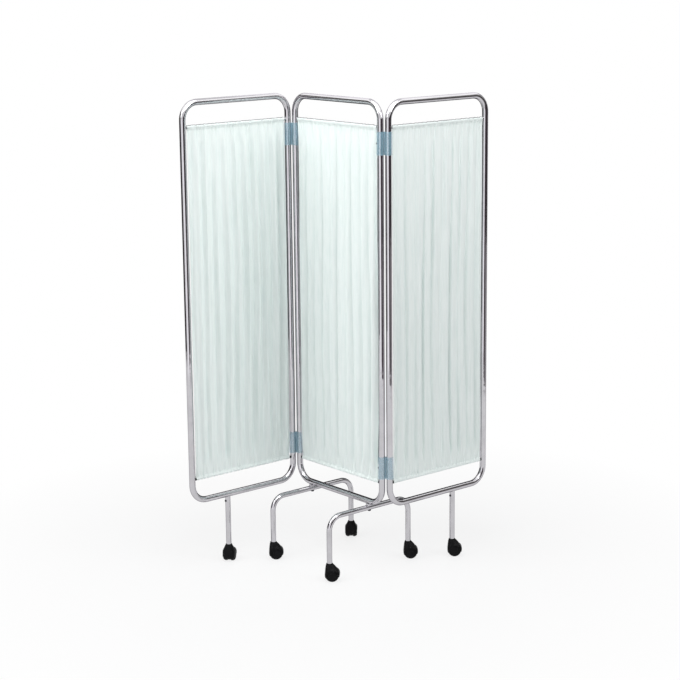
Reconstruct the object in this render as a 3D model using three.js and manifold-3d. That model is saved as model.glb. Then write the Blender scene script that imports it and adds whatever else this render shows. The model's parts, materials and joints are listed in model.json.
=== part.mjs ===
// Three-fold ward privacy screen on casters: three chromed tube frames with gathered curtains, in a zigzag.
// Units are millimetres, +Z is up and the floor is at zero height. The middle panel stands in the XZ plane,
// centred on the origin. The left wing folds towards -Y and the right wing towards +Y.
import * as THREE from "three";
import { mergeVertices, toCreasedNormals } from "three/addons/utils/BufferGeometryUtils.js";
import Module from "manifold-3d";

const wasm = await Module();
wasm.setup();

// Panel frames
const panelPitch = 460; // between the centre lines of one panel's uprights
const panelRise = 1420; // between the centre lines of its bottom and top tubes
const bottomTubeHeight = 255; // floor to the bottom tube's centre line
const frameTubeDiameter = 22;
const frameTubeWall = 1.2;
const cornerRadius = 60; // of the tube's centre line

// Hinges
const hingePitch = 27; // between the two uprights that one clip joins
const restFoldDegrees = 90; // wing to middle panel, where 0 is in line and 180 is folded flat
const clipTurnDegrees = 45; // each way from rest
const clipHeight = 80;
const clipInset = 138; // from a panel's top or bottom tube to the middle of its clip
const clipWall = 2.7;
const clipPlay = 0.5; // between the tube and the clip's bore, on the radius
const clipScrewDiameter = 3.2;
const clipScrewHeadDiameter = 6.4;
const clipScrewHeadDepth = 1.8;
const clipScrewReach = 1.5; // of the tip beyond the tube's wall

// Curtains and their rods
const rodDiameter = 6;
const rodEndDepth = 6; // of a rod's end inside its upright
const topRodDrop = 83; // from the top tube to the upper rod
const bottomRodRise = 82; // from the bottom tube to the lower rod
const curtainSideGap = 2.5; // between the cloth and the clip beside it
const clothThickness = 1.2;
const flatClothThickness = 3; // of the middle curtain, which hangs flat
const pocketWall = 1.6;
const pocketPlay = 0.4;
const stitchDrop = 9; // from a rod's centre to the stitches that close its pocket
const gatherDrop = 60; // from a rod's centre to where the folds are open
const foldDepth = 13; // from the front of one fold to the back of the next
const foldCount = 10;

// Feet under the middle panel and legs under the wings
const legTubeDiameter = 19;
const legTubeWall = 1.2;
const footPitch = 320; // between the two crossing feet
const footSpread = 374; // between the two casters of one foot
const footBendRadius = 50;
const saddleHeight = 3; // between the foot's tube and the frame's tube
const saddleLength = 20; // along the foot
const saddleWidth = 14;
const saddleCradleDepth = 3; // of the frame's tube sunk between the saddle's lips
const wingLegInset = 155; // from the wing's outer upright to its leg
const spigotLength = 30;
const spigotPlay = 0.7; // between the welded spigot and the leg's bore
const footBoltDiameter = 6;
const footBoltHeadDiameter = 13;
const footBoltHeadHeight = 4;
const footBoltReach = 8; // into the frame's tube
const legScrewDiameter = 3.6;
const legScrewHeadDiameter = 7;
const legScrewHeadHeight = 2.2;
const legScrewDrop = 14; // from the underside of the frame's tube
const legScrewReach = 6; // into the spigot

// Casters
const casterHeight = 61; // floor to the end of the leg's tube
const casterTrail = 9; // from the swivel axis to the axle
const wheelDiameter = 48;
const wheelWidth = 15.5;
const wheelShoulder = 3;
const wheelDish = 1.2; // of the outer face towards its middle
const wheelSideGap = 0.6;
const wheelTopGap = 0.9; // between the tread and the hood above it
const hoodWebThickness = 12; // of the middle wall between the wheels
const hoodShell = 1.7;
const hoodOverhang = 0.8; // of the hood's side beyond the wheel's face
const hoodNeckDiameter = 21;
const hoodBossDrop = 12; // from the axle to the web's lower edge
const hoodRimDegrees = { frontTop: 148, frontEnd: 202, rearEnd: 5, rearTop: 72 }; // from straight behind
const axleDiameter = 6;
const axleEndCover = 3; // of the wheel beyond the axle's end
const stemPinDiameter = 8;
const stemPinLength = 23;
const stemCollarHeight = 1.8;
const stemPlugLength = 26;
const stemPlugPlay = 0.6;

// How the screen stands: where each caster's trail points, in degrees from +X
const casterHeadings = {
  left_front: 52,
  left_rear: 138,
  right_front: 46,
  right_rear: 50,
  left_wing: 132,
  right_wing: 48,
};

// Clearances
const seatGap = 0.3; // between pieces that rest on each other
const cutOverrun = 5; // of a cutter beyond the solid that it cuts
const weldDistance = 0.001; // vertices nearer than this are one
const sliverWidth = 0.02; // of the thin faces that a cut leaves, which are merged into their neighbours

// Facets of round shapes
const tubeSides = 12;
const boreSides = 8;
const bendSteps = 5;
const ringSides = 16;
const pocketSides = 8;
const smallSides = 10;
const wheelSides = 16;
const fenderSteps = 5;

const foldColumns = foldCount * 4;
const openRows = 3;

// Shape of the folds, as shares of the fold depth and of the fold pitch, and each wing's start in a fold
const mainFoldShare = 0.34;
const minorFoldShare = 0.14;
const minorFoldRate = 1.62;
const gatherShare = 0.45;
const swayShare = 0.35;
const fanShares = { left_wing: 0.17, right_wing: 0.83 };

const frameTubeRadius = frameTubeDiameter / 2;
const legTubeRadius = legTubeDiameter / 2;
const topTubeHeight = bottomTubeHeight + panelRise;
const topRodHeight = topTubeHeight - topRodDrop;
const bottomRodHeight = bottomTubeHeight + bottomRodRise;
const clipBoreRadius = frameTubeRadius + clipPlay;
const clipOuterRadius = clipBoreRadius + clipWall;
const clipHeights = [bottomTubeHeight + clipInset, topTubeHeight - clipInset];
const curtainWidth = panelPitch - (clipOuterRadius + curtainSideGap) * 2;
const pocketBoreRadius = rodDiameter / 2 + pocketPlay;
const footBarHeight = bottomTubeHeight - frameTubeRadius - saddleHeight - legTubeRadius;
const wingLegPlace = panelPitch / 2 - wingLegInset;
const legScrewHeight = bottomTubeHeight - frameTubeRadius - legScrewDrop;
const frameBoltHoleRadius = footBoltDiameter / 2 + seatGap;
const wheelRadius = wheelDiameter / 2;
const axleHeight = wheelRadius * Math.cos(Math.PI / wheelSides);

const chrome = { color: 0xd4d6d8, roughness: 0.12, metalness: 1 };
const steel = { color: 0xb4b6b8, roughness: 0.35, metalness: 1 };
const cloth = { color: 0xe6f1ec, roughness: 0.85, metalness: 0 };
const bluePlastic = { color: 0x9fc3d6, roughness: 0.4, metalness: 0 };
const blackPlastic = { color: 0x17181a, roughness: 0.45, metalness: 0 };

// A path of straight runs and round bends with a ring at each end of a run and along each bend.
class BentPath extends THREE.Curve {
  constructor(corners, bendRadius, closed) {
    super();
    this.closed = closed;
    this.rings = [];
    const count = corners.length;
    corners.forEach((corner, i) => {
      const isEnd = !closed && (i === 0 || i === count - 1);
      const before = corners[(i + count - 1) % count];
      const after = corners[(i + 1) % count];
      if (isEnd) this.addEnd(corner, i === 0 ? after : before, i === 0);
      else this.addBend(corner, before, after, bendRadius);
    });
    if (closed) this.rings.push(this.rings[0]);
    this.steps = this.rings.length - 1;
  }

  addEnd(corner, neighbour, isStart) {
    const tangent = neighbour.clone().sub(corner).normalize();
    if (!isStart) tangent.negate();
    this.rings.push({ point: corner.clone(), tangent });
  }

  addBend(corner, before, after, bendRadius) {
    const into = corner.clone().sub(before).normalize();
    const out = after.clone().sub(corner).normalize();
    const turn = into.angleTo(out);
    const setback = bendRadius * Math.tan(turn / 2);
    const start = corner.clone().addScaledVector(into, -setback);
    const axis = into.clone().cross(out).normalize();
    const inward = axis.clone().cross(into);
    const centre = start.clone().addScaledVector(inward, bendRadius);
    for (let step = 0; step <= bendSteps; step += 1) {
      const angle = (turn * step) / bendSteps;
      const point = centre.clone().addScaledVector(inward.clone().applyAxisAngle(axis, angle), -bendRadius);
      this.rings.push({ point, tangent: into.clone().applyAxisAngle(axis, angle) });
    }
  }

  ringAt(share) {
    return this.rings[Math.round(share * this.steps)];
  }

  getPointAt(share, target = new THREE.Vector3()) {
    return target.copy(this.ringAt(share).point);
  }

  getPoint(share, target = new THREE.Vector3()) {
    return this.getPointAt(share, target);
  }

  getTangentAt(share, target = new THREE.Vector3()) {
    return target.copy(this.ringAt(share).tangent);
  }
}

// A closed geometry as a solid that can be cut and joined.
function solidOf(geometry) {
  const bare = new THREE.BufferGeometry();
  bare.setAttribute("position", geometry.getAttribute("position"));
  if (geometry.index) bare.setIndex(geometry.index);
  const merged = mergeVertices(bare, weldDistance);
  const vertProperties = merged.attributes.position.array;
  const triVerts = new Uint32Array(merged.index.array);
  return new wasm.Manifold(new wasm.Mesh({ numProp: 3, vertProperties, triVerts }));
}

// A solid as a named mesh, with crisp edges.
function piece(name, solid, finish) {
  const mesh = solid.getMesh();
  const geometry = new THREE.BufferGeometry();
  geometry.setAttribute("position", new THREE.BufferAttribute(mesh.vertProperties, mesh.numProp));
  geometry.setIndex(new THREE.BufferAttribute(mesh.triVerts, 1));
  const part = new THREE.Mesh(toCreasedNormals(geometry), new THREE.MeshStandardMaterial(finish));
  part.name = name;
  return part;
}

function joined(solids) {
  return solids.reduce((whole, solid) => whole.add(solid));
}

function cut(solid, cutters) {
  return cutters.reduce((rest, cutter) => rest.subtract(cutter), solid).simplify(sliverWidth);
}

function circlePoints(radius, sides) {
  return Array.from({ length: sides }, (_, i) => {
    const angle = ((i + 1 / 2) / sides) * Math.PI * 2;
    return new THREE.Vector2(radius * Math.cos(angle), radius * Math.sin(angle));
  });
}

// A hollow round tube along a path. A closed path keeps only the side faces, because its ends meet.
function tubeAlong(path, radius, wall) {
  const section = new THREE.Shape(circlePoints(radius, tubeSides));
  section.holes.push(new THREE.Path(circlePoints(radius - wall, boreSides)));
  const geometry = new THREE.ExtrudeGeometry(section, { steps: path.steps, extrudePath: path });
  if (!path.closed) return solidOf(geometry);
  const sides = geometry.groups[1];
  const corners = geometry.getAttribute("position").array;
  const kept = corners.slice(sides.start * 3, (sides.start + sides.count) * 3);
  const loop = new THREE.BufferGeometry();
  loop.setAttribute("position", new THREE.BufferAttribute(kept, 3));
  return solidOf(loop);
}

// A solid turned about the Z axis from a profile of [radius, height] pairs that starts and ends on the axis.
function turned(profile, sides) {
  const points = profile.map(([radius, height]) => new THREE.Vector2(radius, height));
  return new THREE.LatheGeometry(points, sides).rotateX(Math.PI / 2);
}

// A round pin between two heights on the Z axis.
function pin(radius, low, high, sides) {
  return turned([[0, low], [radius, low], [radius, high], [0, high]], sides);
}

// An outline extruded to both sides of its own plane.
function slab(shape, thickness, curveSegments) {
  const settings = { depth: thickness, bevelEnabled: false, curveSegments };
  return new THREE.ExtrudeGeometry(shape, settings).translate(0, 0, -thickness / 2);
}

// Turns a geometry that stands along Z so that it lies along X or along Y.
const layAlongX = (geometry) => geometry.rotateY(Math.PI / 2);
const layAlongY = (geometry) => geometry.rotateX(-Math.PI / 2);

// The closed loop of one panel's frame, in the panel's own XZ plane.
function frameLoop() {
  const corners = [
    [panelPitch / 2, topTubeHeight],
    [panelPitch / 2, bottomTubeHeight],
    [-panelPitch / 2, bottomTubeHeight],
    [-panelPitch / 2, topTubeHeight],
  ].map(([across, height]) => new THREE.Vector3(across, 0, height));
  return tubeAlong(new BentPath(corners, cornerRadius, true), frameTubeRadius, frameTubeWall);
}

// The holes in the inner walls of the uprights that take the ends of the curtain rods.
function rodHoles() {
  const radius = rodDiameter / 2 + seatGap;
  const length = frameTubeRadius + cutOverrun;
  return [-1, 1].flatMap((side) =>
    [bottomRodHeight, topRodHeight].map((height) => {
      const hole = layAlongX(pin(radius, -length / 2, length / 2, smallSides));
      return solidOf(hole.translate(side * (panelPitch / 2 - length / 2), 0, height));
    }),
  );
}

// The slot round an upright's wall that a clip's screw runs in, as it turns between its two ends.
function clipSlot(side, height) {
  const pinAllowance = Math.asin((clipScrewDiameter / 2 + seatGap) / (frameTubeRadius - frameTubeWall));
  const middle = (restFoldDegrees / 2 + (side > 0 ? 180 : 0)) * THREE.MathUtils.DEG2RAD;
  const half = clipTurnDegrees * THREE.MathUtils.DEG2RAD + pinAllowance;
  const reach = frameTubeRadius + cutOverrun;
  const arc = new THREE.EllipseCurve(0, 0, reach, reach, middle - half, middle + half);
  const sector = new THREE.Shape([new THREE.Vector2(), ...arc.getPoints(ringSides)]);
  const wedge = slab(sector, clipScrewDiameter + seatGap * 2, 1);
  return solidOf(wedge.translate((side * panelPitch) / 2, 0, height));
}

// The holes under the bottom tube for the bolts of the two crossing feet.
function footBoltHoles() {
  return [-1, 1].map((side) => {
    const low = bottomTubeHeight - frameTubeRadius - cutOverrun;
    const hole = pin(frameBoltHoleRadius, low, bottomTubeHeight, smallSides);
    return solidOf(hole.translate((side * footPitch) / 2, 0, 0));
  });
}

function middleFrame() {
  const slots = [-1, 1].flatMap((side) => clipHeights.map((height) => clipSlot(side, height)));
  return cut(frameLoop(), [...rodHoles(), ...slots, ...footBoltHoles()]);
}

// A screw's hole that goes in from one side of a wing's leg, where side is -1 or 1 along the panel.
function legScrewHole(side) {
  const radius = legScrewDiameter / 2 + seatGap;
  const deepEnd = legTubeRadius - legTubeWall - spigotPlay - legScrewReach - seatGap;
  const hole = layAlongX(pin(radius, deepEnd, legTubeRadius + cutOverrun, smallSides));
  if (side < 0) hole.rotateZ(Math.PI);
  return solidOf(hole.translate(wingLegPlace, 0, legScrewHeight));
}

// A wing's frame has a spigot welded under its bottom tube, which the leg slides over.
function wingFrame(screwSide) {
  const top = bottomTubeHeight - frameTubeRadius + frameTubeWall / 2;
  const bottom = bottomTubeHeight - frameTubeRadius - spigotLength;
  const radius = legTubeRadius - legTubeWall - spigotPlay;
  const spigot = solidOf(pin(radius, bottom, top, smallSides).translate(wingLegPlace, 0, 0));
  return cut(joined([frameLoop(), spigot]), [...rodHoles(), legScrewHole(screwSide)]);
}

// A straight tube under a wing, coped at the top to fit round the frame's tube.
function wingLeg(screwSide) {
  const path = new BentPath(
    [new THREE.Vector3(wingLegPlace, 0, casterHeight), new THREE.Vector3(wingLegPlace, 0, bottomTubeHeight)],
    footBendRadius,
    false,
  );
  const tube = tubeAlong(path, legTubeRadius, legTubeWall);
  const reach = legTubeDiameter + cutOverrun;
  const cope = layAlongX(pin(frameTubeRadius + seatGap, -reach, reach, ringSides));
  return cut(tube, [solidOf(cope.translate(wingLegPlace, 0, bottomTubeHeight)), legScrewHole(screwSide)]);
}

// A pan-head screw along +Z with the underside of its head at zero height.
function panScrew(headRadius, headHeight, shankRadius, length) {
  const crownRadius = headRadius - headHeight / 2;
  return turned(
    [[0, -length], [shankRadius, -length], [shankRadius, 0], [headRadius, 0], [headRadius, headHeight / 2],
      [crownRadius, headHeight], [0, headHeight]],
    smallSides,
  );
}

function legScrew(side) {
  const length = seatGap + legTubeWall + spigotPlay + legScrewReach;
  const screw = panScrew(legScrewHeadDiameter / 2, legScrewHeadHeight, legScrewDiameter / 2, length);
  layAlongX(screw.translate(0, 0, legTubeRadius + seatGap));
  if (side < 0) screw.rotateZ(Math.PI);
  return solidOf(screw.translate(wingLegPlace, 0, legScrewHeight));
}

// A sprung rod between a panel's uprights, along the panel.
function curtainRod(height) {
  const half = panelPitch / 2 - frameTubeRadius + rodEndDepth;
  return solidOf(layAlongX(pin(rodDiameter / 2, -half, half, smallSides)).translate(0, 0, height));
}

// How far the cloth stands to the front or back, at shares of its width and height from -1/2 to 1/2.
function foldOffset(across, up, fanShare) {
  const gathered = 1 - gatherShare * (Math.abs(up) * 2) ** 4;
  const drift = Math.sin(Math.PI * 2 * (up + fanShare)) * Math.cos(Math.PI * (across + fanShare));
  const sway = swayShare * drift;
  const main = Math.sin(Math.PI * 2 * (foldCount * across + sway + fanShare));
  const minor = Math.sin(Math.PI * 2 * (foldCount * minorFoldRate * across - sway - fanShare));
  return foldDepth * gathered * (mainFoldShare * main + minorFoldShare * minor);
}

// Heights of the cloth's rows from its middle. It lies flat from each rod to the stitches under the pocket.
function clothRows() {
  const half = (topRodHeight - bottomRodHeight) / 2;
  const openHalf = half - gatherDrop;
  const open = Array.from({ length: openRows + 1 }, (_, i) => openHalf * ((i / openRows) * 2 - 1));
  return [-half, stitchDrop - half, ...open, half - stitchDrop, half];
}

// Turns the diagonals of a box's -Y skin, so that both skins crease along the same lines.
function matchCreases(box) {
  const index = box.getIndex();
  const skin = box.groups[3];
  for (let i = skin.start; i < skin.start + skin.count; i += 6) {
    const [a, b, d, c] = [0, 1, 2, 4].map((corner) => index.getX(i + corner));
    [a, b, c, a, c, d].forEach((vertex, corner) => index.setX(i + corner, vertex));
  }
}

// Cloth that hangs in folds about zero height. The share sets one panel's folds apart from another's.
function foldedSheet(fanShare) {
  const rows = clothRows();
  const height = topRodHeight - bottomRodHeight;
  const sheet = new THREE.BoxGeometry(curtainWidth, clothThickness, 1, foldColumns, 1, rows.length - 1);
  const places = sheet.getAttribute("position");
  for (let i = 0; i < places.count; i += 1) {
    const row = rows[Math.round((places.getZ(i) + 1 / 2) * (rows.length - 1))];
    const isOpen = Math.abs(row) < height / 2 - stitchDrop;
    const offset = isOpen ? foldOffset(places.getX(i) / curtainWidth, row / height, fanShare) : 0;
    places.setY(i, places.getY(i) + offset);
    places.setZ(i, row);
  }
  matchCreases(sheet);
  return sheet;
}

function flatSheet() {
  return new THREE.BoxGeometry(curtainWidth, flatClothThickness, topRodHeight - bottomRodHeight);
}

// A sheet of cloth hung between the rods, with a sewn pocket round each.
function curtain(sheet) {
  const hung = solidOf(sheet.translate(0, 0, (topRodHeight + bottomRodHeight) / 2));
  const along = (radius, length, rodHeight) => {
    const bar = layAlongX(pin(radius, -length / 2, length / 2, pocketSides));
    return solidOf(bar.translate(0, 0, rodHeight));
  };
  const rodHeights = [bottomRodHeight, topRodHeight];
  const pockets = rodHeights.map((place) => along(pocketBoreRadius + pocketWall, curtainWidth, place));
  const bores = rodHeights.map((place) => along(pocketBoreRadius, curtainWidth + cutOverrun, place));
  return cut(joined([hung, ...pockets]), bores);
}

function addCurtainSet(panel, name) {
  const isFolded = name in fanShares;
  const sheet = isFolded ? foldedSheet(fanShares[name]) : flatSheet();
  panel.add(piece(`${name}_top_rod`, curtainRod(topRodHeight), steel));
  panel.add(piece(`${name}_bottom_rod`, curtainRod(bottomRodHeight), steel));
  panel.add(piece(`${name}_curtain`, curtain(sheet), cloth));
}

// A moulded clip of two joined rings. The first ring, at the origin, turns on the middle panel's upright,
// and the second, along +X, holds the wing's upright. A countersunk hole at -X takes the screw.
function hingeClip() {
  const outline = new THREE.Shape();
  const valley = Math.acos(hingePitch / 2 / clipOuterRadius);
  outline.absarc(0, 0, clipOuterRadius, valley, Math.PI * 2 - valley, false);
  outline.absarc(hingePitch, 0, clipOuterRadius, valley - Math.PI, Math.PI - valley, false);
  outline.closePath();
  [0, hingePitch].forEach((place) => {
    const middle = new THREE.Vector2(place, 0);
    const bore = circlePoints(clipBoreRadius, ringSides).map((point) => point.add(middle));
    outline.holes.push(new THREE.Path(bore));
  });
  return cut(solidOf(slab(outline, clipHeight, ringSides / 2)), [solidOf(clipScrewShape(seatGap))]);
}

// The clip's countersunk screw, along -X, or the hole for it when it is grown by a clearance.
function clipScrewShape(clearance) {
  const shank = clipScrewDiameter / 2 + clearance;
  const head = clipScrewHeadDiameter / 2 + clearance;
  const tip = frameTubeRadius - frameTubeWall - clipScrewReach;
  const headTop = clipOuterRadius - seatGap + clearance;
  const headBottom = headTop - clipScrewHeadDepth;
  const rim = clearance > 0 ? cutOverrun : 0;
  const screw = turned(
    [[0, tip], [shank, tip], [shank, headBottom], [head, headTop], [head, headTop + rim],
      [0, headTop + rim]],
    smallSides,
  );
  return screw.rotateY(-Math.PI / 2);
}

// An inverted U of tube across the middle panel's bottom tube, with a welded saddle for that tube to sit in.
function crossingFoot() {
  const corners = [
    [-footSpread / 2, casterHeight],
    [-footSpread / 2, footBarHeight],
    [footSpread / 2, footBarHeight],
    [footSpread / 2, casterHeight],
  ].map(([depth, height]) => new THREE.Vector3(0, depth, height));
  const tube = tubeAlong(new BentPath(corners, footBendRadius, false), legTubeRadius, legTubeWall);
  const saddleTop = bottomTubeHeight - frameTubeRadius + saddleCradleDepth;
  const block = new THREE.BoxGeometry(saddleWidth, saddleLength, saddleTop - footBarHeight);
  const inWall = layAlongY(pin(legTubeRadius - legTubeWall / 2, -saddleLength, saddleLength, tubeSides));
  const saddle = cut(solidOf(block.translate(0, 0, (saddleTop + footBarHeight) / 2)), [
    solidOf(inWall.translate(0, 0, footBarHeight)),
  ]);
  const cradle = layAlongX(pin(frameTubeRadius + seatGap, -saddleLength, saddleLength, ringSides));
  const holeBottom = footBarHeight - legTubeRadius - cutOverrun;
  const boltHole = solidOf(pin(frameBoltHoleRadius, holeBottom, bottomTubeHeight, smallSides));
  return cut(joined([tube, saddle]), [solidOf(cradle.translate(0, 0, bottomTubeHeight)), boltHole]);
}

// The bolt that comes up through a foot's tube and saddle into the frame's tube, with its head below.
function footBolt() {
  const headTop = footBarHeight - legTubeRadius - seatGap;
  const length = bottomTubeHeight - frameTubeRadius + frameTubeWall + footBoltReach - headTop;
  const bolt = panScrew(footBoltHeadDiameter / 2, footBoltHeadHeight, footBoltDiameter / 2, length);
  return solidOf(bolt.rotateX(Math.PI).translate(0, 0, headTop));
}

// The caster's stem: a plug inside the leg, a collar under the leg's end and the pin that the hood turns on.
function casterStem() {
  const plugRadius = (legTubeRadius - legTubeWall) * Math.cos(Math.PI / boreSides) - stemPlugPlay;
  const collarTop = casterHeight - seatGap;
  const collarBottom = collarTop - stemCollarHeight;
  const pinBottom = collarBottom - stemPinLength;
  return turned(
    [[0, pinBottom], [stemPinDiameter / 2, pinBottom], [stemPinDiameter / 2, collarBottom],
      [legTubeRadius, collarBottom], [legTubeRadius, collarTop], [plugRadius, collarTop],
      [plugRadius, collarTop + stemPlugLength], [0, collarTop + stemPlugLength]],
    smallSides,
  );
}

// The hood's outline from the side, with the swivel axis at zero and the axle at the trail.
function hoodSideOutline(top) {
  const fenderRadius = wheelRadius + wheelTopGap + hoodShell;
  const outline = new THREE.Shape();
  const arc = (fromDegrees, toDegrees) => {
    for (let step = 0; step <= fenderSteps; step += 1) {
      const degrees = fromDegrees + ((toDegrees - fromDegrees) * step) / fenderSteps;
      const angle = degrees * THREE.MathUtils.DEG2RAD;
      const depth = casterTrail + fenderRadius * Math.cos(angle);
      outline.lineTo(depth, axleHeight + fenderRadius * Math.sin(angle));
    }
  };
  outline.moveTo(-hoodNeckDiameter / 2, top);
  arc(hoodRimDegrees.frontTop, hoodRimDegrees.frontEnd);
  outline.lineTo(casterTrail - axleDiameter, axleHeight - hoodBossDrop);
  outline.lineTo(casterTrail + axleDiameter, axleHeight - hoodBossDrop);
  arc(hoodRimDegrees.rearEnd, hoodRimDegrees.rearTop);
  outline.lineTo(hoodNeckDiameter / 2, top);
  outline.closePath();
  return outline;
}

// The hood's outline from the front: a neck that widens to cover both wheels.
function hoodFrontOutline(top) {
  const half = hoodWebThickness / 2 + wheelSideGap + wheelWidth + hoodOverhang;
  const outline = new THREE.Shape();
  outline.moveTo(-hoodNeckDiameter / 2, top);
  outline.lineTo(-half, axleHeight + wheelRadius - wheelShoulder);
  outline.lineTo(-half, 0);
  outline.lineTo(half, 0);
  outline.lineTo(half, axleHeight + wheelRadius - wheelShoulder);
  outline.lineTo(hoodNeckDiameter / 2, top);
  outline.closePath();
  return outline;
}

// The moulded hood: a crown over both wheels, a web between them, and bores for the stem and the axle.
function casterHood() {
  const top = casterHeight - seatGap * 2 - stemCollarHeight;
  const side = solidOf(slab(hoodSideOutline(top), casterHeight, 1).rotateX(Math.PI / 2));
  const front = slab(hoodFrontOutline(top), casterHeight * 2, 1).rotateX(Math.PI / 2).rotateZ(Math.PI / 2);
  const wheelSpace = (sign) => {
    const space = pin(wheelRadius + wheelTopGap, hoodWebThickness / 2, casterHeight, wheelSides);
    layAlongY(space.rotateZ(Math.PI / wheelSides));
    if (sign < 0) space.rotateZ(Math.PI);
    return solidOf(space.translate(casterTrail, 0, axleHeight));
  };
  const stemBore = pin(stemPinDiameter / 2 + seatGap, top - stemPinLength, top + cutOverrun, smallSides);
  const axleBore = pin(axleDiameter / 2 + seatGap, -hoodWebThickness, hoodWebThickness, smallSides);
  layAlongY(axleBore).translate(casterTrail, 0, axleHeight);
  const shell = side.intersect(solidOf(front));
  return cut(shell, [wheelSpace(1), wheelSpace(-1), solidOf(stemBore), solidOf(axleBore)]);
}

function casterAxle() {
  const half = hoodWebThickness / 2 + wheelSideGap + wheelWidth - axleEndCover - seatGap;
  const axle = layAlongY(pin(axleDiameter / 2, -half, half, smallSides));
  return solidOf(axle.translate(casterTrail, 0, axleHeight));
}

// A wheel on one side of the hood's web, with a blind bore for the axle and a flat of its tread down.
function casterWheel(sign) {
  const bore = axleDiameter / 2 + seatGap;
  const boreEnd = wheelWidth - axleEndCover;
  const wheel = turned(
    [[0, boreEnd], [bore, boreEnd], [bore, 0], [wheelRadius - wheelShoulder, 0],
      [wheelRadius, wheelShoulder], [wheelRadius, wheelWidth - wheelShoulder],
      [wheelRadius - wheelShoulder, wheelWidth], [0, wheelWidth - wheelDish]],
    wheelSides,
  );
  wheel.rotateZ(Math.PI / wheelSides).translate(0, 0, hoodWebThickness / 2 + wheelSideGap);
  layAlongY(wheel);
  if (sign < 0) wheel.rotateZ(Math.PI);
  return solidOf(wheel.translate(casterTrail, 0, axleHeight));
}

// A caster at the lower end of a leg. Its heading is set in the screen's frame, less its panel's turn.
function addCaster(parent, name, place, panelTurnDegrees) {
  const stem = piece(`${name}_caster_stem`, solidOf(casterStem()), steel);
  stem.position.set(...place, 0);
  const swivel = new THREE.Group();
  swivel.position.set(...place, 0);
  swivel.rotation.z = (casterHeadings[name] - panelTurnDegrees) * THREE.MathUtils.DEG2RAD;
  swivel.add(piece(`${name}_caster_hood`, casterHood(), blackPlastic));
  swivel.add(piece(`${name}_caster_axle`, casterAxle(), steel));
  swivel.add(piece(`${name}_caster_wheel_a`, casterWheel(1), blackPlastic));
  swivel.add(piece(`${name}_caster_wheel_b`, casterWheel(-1), blackPlastic));
  parent.add(stem, swivel);
}

function middlePanel() {
  const panel = new THREE.Group();
  panel.add(piece("middle_frame", middleFrame(), chrome));
  addCurtainSet(panel, "middle");
  ["left", "right"].forEach((side, i) => {
    const across = (i - 1 / 2) * footPitch;
    const foot = piece(`${side}_foot`, crossingFoot(), chrome);
    const bolt = piece(`${side}_foot_bolt`, footBolt(), steel);
    foot.position.x = across;
    bolt.position.x = across;
    panel.add(foot, bolt);
    addCaster(panel, `${side}_front`, [across, -footSpread / 2], 0);
    addCaster(panel, `${side}_rear`, [across, footSpread / 2], 0);
  });
  return panel;
}

// A wing in its own XZ plane, with its hinge upright at -X and its leg near the outer upright.
function wingPanel(name, screwSide, turnDegrees) {
  const panel = new THREE.Group();
  panel.add(piece(`${name}_frame`, wingFrame(screwSide), chrome));
  addCurtainSet(panel, name);
  panel.add(piece(`${name}_leg`, wingLeg(screwSide), chrome));
  panel.add(piece(`${name}_leg_screw`, legScrew(screwSide), steel));
  addCaster(panel, name, [wingLegPlace, 0], turnDegrees);
  return panel;
}

// One hinge line: the clips turn on the middle panel's upright, and the wing turns in the clips' far rings.
function hingeLine(name, side, wing) {
  const line = new THREE.Group();
  line.position.x = (side * panelPitch) / 2;
  line.rotation.z = side > 0 ? 0 : Math.PI;
  const clips = new THREE.Group();
  clips.rotation.z = (restFoldDegrees / 2) * THREE.MathUtils.DEG2RAD;
  ["lower", "upper"].forEach((level, i) => {
    const clip = piece(`${name}_${level}_hinge_clip`, hingeClip(), bluePlastic);
    const screw = piece(`${name}_${level}_clip_screw`, solidOf(clipScrewShape(0)), steel);
    clip.position.z = clipHeights[i];
    screw.position.z = clipHeights[i];
    clips.add(clip, screw);
  });
  const swing = new THREE.Group();
  swing.position.x = hingePitch;
  swing.rotation.z = (restFoldDegrees / 2) * THREE.MathUtils.DEG2RAD;
  wing.position.x = panelPitch / 2;
  swing.add(wing);
  clips.add(swing);
  line.add(clips);
  return line;
}

const screen = new THREE.Group();
screen.add(middlePanel());
screen.add(hingeLine("left", -1, wingPanel("left_wing", 1, 180 + restFoldDegrees)));
screen.add(hingeLine("right", 1, wingPanel("right_wing", -1, restFoldDegrees)));

export default screen;
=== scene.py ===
"""A three-fold ward privacy screen on casters, in metres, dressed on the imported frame."""

import json
import math
from collections import namedtuple

import bmesh
import bpy
from mathutils import Matrix, Vector, noise


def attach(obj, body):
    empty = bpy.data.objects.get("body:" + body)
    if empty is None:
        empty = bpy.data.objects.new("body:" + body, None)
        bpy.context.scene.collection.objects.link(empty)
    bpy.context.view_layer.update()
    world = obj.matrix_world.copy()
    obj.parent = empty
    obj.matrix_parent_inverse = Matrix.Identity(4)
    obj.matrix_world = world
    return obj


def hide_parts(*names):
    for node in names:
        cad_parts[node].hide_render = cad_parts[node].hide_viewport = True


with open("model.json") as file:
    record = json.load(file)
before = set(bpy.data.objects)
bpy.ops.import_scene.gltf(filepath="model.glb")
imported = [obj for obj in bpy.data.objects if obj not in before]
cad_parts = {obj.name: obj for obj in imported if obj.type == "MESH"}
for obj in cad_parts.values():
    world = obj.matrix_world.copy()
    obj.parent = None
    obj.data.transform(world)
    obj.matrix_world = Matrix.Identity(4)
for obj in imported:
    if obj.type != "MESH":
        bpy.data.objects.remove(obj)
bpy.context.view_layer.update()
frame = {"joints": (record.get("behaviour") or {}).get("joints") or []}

# Panel frames
PANEL_PITCH = 0.460  # between one panel's uprights
BOTTOM_TUBE_HEIGHT = 0.255
TOP_TUBE_HEIGHT = 1.675
FRAME_RADIUS = 0.011
CORNER_RADIUS = 0.060

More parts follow.
